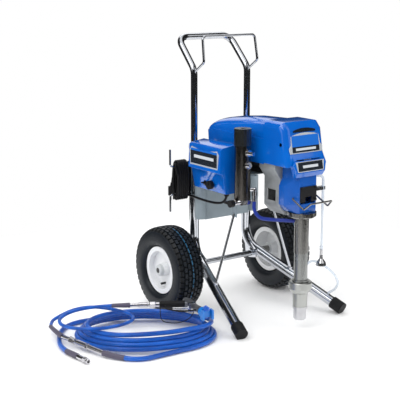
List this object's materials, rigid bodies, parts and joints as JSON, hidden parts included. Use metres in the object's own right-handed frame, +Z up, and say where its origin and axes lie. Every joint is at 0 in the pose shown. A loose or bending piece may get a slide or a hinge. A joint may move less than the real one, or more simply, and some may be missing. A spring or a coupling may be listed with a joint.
{
  "type": "airless paint sprayer",
  "caption": "Electric piston paint sprayer on a two-wheeled tube cart with a telescopic handle, covered motor, front fluid pump, side filter, control box, floor hose and spray gun.",
  "frame": {"origin": "on the floor under the middle of the wheel axle", "axes": "+Z up, -Y towards the pump at the front of the cart, +X to the cart's left when seen from the front"},
  "size_m": [1.1245, 0.712, 1.0255],
  "materials": {
    "frame_chrome": "bright chromed tube",
    "rubber_black": "matte black rubber",
    "steel": "turned steel",
    "tyre": "black pneumatic turf tyre with a thin blue line",
    "rim_white": "white enamel",
    "hub_black": "black plastic",
    "chassis_grey": "pale grey powder coat",
    "motor_black": "black motor shell",
    "cast_grey": "sand-cast aluminium",
    "drive_blue": "blue enamel over a casting",
    "guard": "pressed steel",
    "chrome": "plated steel",
    "cover_blue": "glossy blue moulding",
    "badge": "plain silver and blue panels without words",
    "box_grey": "grey control chassis",
    "black_plastic": "black plastic",
    "hose_black": "black hose",
    "clear_tube": "clear drain tube",
    "cord_black": "black power cord",
    "hose_blue": "blue braided hose jacket",
    "fitting": "plated fittings with bend restrictors",
    "gun_grey": "cast gun body",
    "trigger": "pale pressed trigger",
    "guard_blue": "azure tip guard",
    "tip_blue": "blue tip handle"
  },
  "bodies": {
    "cart": {"frame_tube_left": "frame_chrome", "frame_tube_right": "frame_chrome", "foot_caps": "rubber_black", "axle_beam": "frame_chrome", "axle_shaft": "steel", "struts": "frame_chrome", "handle_collars": "frame_chrome", "motor_chassis": "chassis_grey", "motor_housing": "motor_black", "gear_housing": "cast_grey", "drive_housing": "drive_blue", "rod_guard": "guard", "jam_nut": "steel", "pump_sleeve": "steel", "pump_cylinder": "steel", "intake_housing": "steel", "intake_strainer": "guard", "motor_shroud": "cover_blue", "front_cover": "cover_blue", "name_plates": "badge", "control_chassis": "box_grey", "control_cover": "cover_blue", "filter_body": "steel", "filter_cap": "black_plastic", "filter_element": "guard", "fluid_fittings": "chrome", "pump_hose": "hose_black", "drain_line": "clear_tube", "drain_deflector": "chrome", "cord_hooks": "frame_chrome", "cord_gland": "black_plastic", "cord_hank": "cord_black", "cord_lead": "cord_black", "cord_plug": "rubber_black", "hose_coil": "hose_blue", "hose_tail": "hose_blue", "whip_hose": "hose_blue", "hose_fittings": "fitting", "gun_body": "gun_grey", "gun_handle": "rubber_black", "tip_guard": "guard_blue"},
    "handle": {"handle_tube": "frame_chrome", "hose_rack": "frame_chrome"},
    "wheel_left": {"wheel_left_tyre": "tyre", "wheel_left_rim": "rim_white", "wheel_left_hub": "hub_black"},
    "wheel_right": {"wheel_right_tyre": "tyre", "wheel_right_rim": "rim_white", "wheel_right_hub": "hub_black"},
    "rotor": {"motor_rotor": "steel"},
    "cluster_gear": {"intermediate_gear": "steel"},
    "crank": {"crank_gear": "steel"},
    "rod": {"pump_rod": "chrome"},
    "link": {"connecting_rod": "steel"},
    "bail": {"pail_hook": "steel"},
    "prime_valve": {"prime_valve_lever": "black_plastic"},
    "knob": {"pressure_knob": "black_plastic"},
    "switch": {"power_switch": "black_plastic"},
    "trigger": {"gun_trigger": "trigger"},
    "tip": {"spray_tip": "tip_blue"}
  },
  "joints": [
    {"name": "handle_slide", "type": "slide", "parent": "cart", "child": "handle", "axis": [0, 0, 1], "range_m": [-0.247, 0]},
    {"name": "wheel_left_spin", "type": "hinge", "parent": "cart", "child": "wheel_left", "pos_m": [-0.2595, 0, 0.162], "axis": [-1, 0, 0], "continuous": true},
    {"name": "wheel_right_spin", "type": "hinge", "parent": "cart", "child": "wheel_right", "pos_m": [0.2595, 0, 0.162], "axis": [1, 0, 0], "continuous": true},
    {"name": "rotor_spin", "type": "hinge", "parent": "cart", "child": "rotor", "pos_m": [0, -0.17, 0.618], "axis": [0, 1, 0], "continuous": true},
    {"name": "cluster_spin", "type": "hinge", "parent": "cart", "child": "cluster_gear", "pos_m": [0.03923, -0.35, 0.59596], "axis": [0, 1, 0], "continuous": true},
    {"name": "crank_spin", "type": "hinge", "parent": "cart", "child": "crank", "pos_m": [0, -0.38, 0.556], "axis": [0, 1, 0], "continuous": true},
    {"name": "pump_stroke", "type": "slide", "parent": "cart", "child": "rod", "axis": [0, 0, 1], "range_m": [-0.04, 0]},
    {"name": "link_swing", "type": "hinge", "parent": "rod", "child": "link", "pos_m": [0, -0.449, 0.496], "axis": [0, 1, 0], "range_deg": [-14, 14]},
    {"name": "bail_lift", "type": "hinge", "parent": "cart", "child": "bail", "pos_m": [0, -0.458, 0.486], "axis": [-1, 0, 0], "range_deg": [0, 45]},
    {"name": "prime_valve_turn", "type": "hinge", "parent": "cart", "child": "prime_valve", "pos_m": [-0.18, -0.281, 0.452], "axis": [1, 0, 0], "range_deg": [0, 90]},
    {"name": "knob_turn", "type": "hinge", "parent": "cart", "child": "knob", "pos_m": [-0.176, -0.16, 0.5], "axis": [-1, 0, 0], "range_deg": [0, 300]},
    {"name": "switch_rock", "type": "hinge", "parent": "cart", "child": "switch", "pos_m": [-0.173, -0.116, 0.498], "axis": [0, 1, 0], "range_deg": [-12, 12]},
    {"name": "trigger_pull", "type": "hinge", "parent": "cart", "child": "trigger", "pos_m": [-0.32431, -0.25279, 0.092], "axis": [0, 0, -1], "range_deg": [0, 16], "stiffness_Nm_per_rad": 0.6, "springref_deg": -8.59},
    {"name": "tip_turn", "type": "hinge", "parent": "cart", "child": "tip", "pos_m": [-0.33466, -0.33625, 0.092], "axis": [0, 0, 1], "range_deg": [0, 180]}
  ],
  "couplings": [
    {"joint": "cluster_spin", "follows": "rotor_spin", "ratio": -0.25},
    {"joint": "crank_spin", "follows": "rotor_spin", "ratio": 0.083333}
  ]
}
